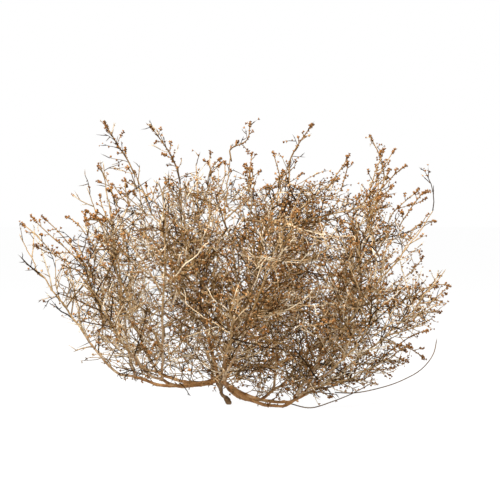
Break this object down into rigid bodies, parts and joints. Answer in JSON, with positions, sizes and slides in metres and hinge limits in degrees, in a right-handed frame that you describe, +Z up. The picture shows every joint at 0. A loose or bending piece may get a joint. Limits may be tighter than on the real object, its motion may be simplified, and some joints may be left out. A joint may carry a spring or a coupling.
{
  "type": "tumbleweed",
  "caption": "Dry, rounded tumbleweed: a broken root stub, arching stems and limbs, and sprays of fine seed-laden twigs.",
  "frame": {"origin": "centre of the flat, broken end under the root, where the plant stands on the surface", "axes": "+Z up, +X along the plant's widest extent, +Y away from the side that is shown as its front"},
  "size_m": [0.6036, 0.5583, 0.3921],
  "materials": {
    "root_bark": "matte",
    "stem_wood": "matte",
    "limb_wood": "matte",
    "twig_straw": "matte",
    "seed_husk": "matte"
  },
  "bodies": {
    "root": {"root_stub": "root_bark", "stem_1": "stem_wood", "limb_low_1": "limb_wood", "spray_low_1": "twig_straw", "limb_high_1": "limb_wood", "spray_high_1": "twig_straw", "stem_2": "stem_wood", "limb_low_2": "limb_wood", "spray_low_2": "twig_straw", "limb_high_2": "limb_wood", "spray_high_2": "twig_straw", "stem_3": "stem_wood", "limb_low_3": "limb_wood", "spray_low_3": "twig_straw", "limb_high_3": "limb_wood", "spray_high_3": "twig_straw", "stem_4": "stem_wood", "limb_low_4": "limb_wood", "spray_low_4": "twig_straw", "limb_high_4": "limb_wood", "spray_high_4": "twig_straw", "stem_5": "stem_wood", "limb_low_5": "limb_wood", "spray_low_5": "twig_straw", "limb_high_5": "limb_wood", "spray_high_5": "twig_straw", "stem_6": "stem_wood", "limb_low_6": "limb_wood", "spray_low_6": "twig_straw", "limb_high_6": "limb_wood", "spray_high_6": "twig_straw", "stem_7": "stem_wood", "limb_low_7": "limb_wood", "spray_low_7": "twig_straw", "limb_high_7": "limb_wood", "spray_high_7": "twig_straw", "stem_8": "stem_wood", "limb_low_8": "limb_wood", "spray_low_8": "twig_straw", "limb_high_8": "limb_wood", "spray_high_8": "twig_straw", "stem_inner_1": "stem_wood", "limb_top_1_1": "limb_wood", "spray_top_1_1": "twig_straw", "limb_top_1_2": "limb_wood", "spray_top_1_2": "twig_straw", "limb_top_1_3": "limb_wood", "spray_top_1_3": "twig_straw", "stem_inner_2": "stem_wood", "limb_top_2_1": "limb_wood", "spray_top_2_1": "twig_straw", "limb_top_2_2": "limb_wood", "spray_top_2_2": "twig_straw", "limb_top_2_3": "limb_wood", "spray_top_2_3": "twig_straw", "wand_1": "seed_husk", "wand_2": "seed_husk", "wand_3": "seed_husk", "wand_4": "seed_husk", "wand_5": "seed_husk"}
  },
  "joints": []
}
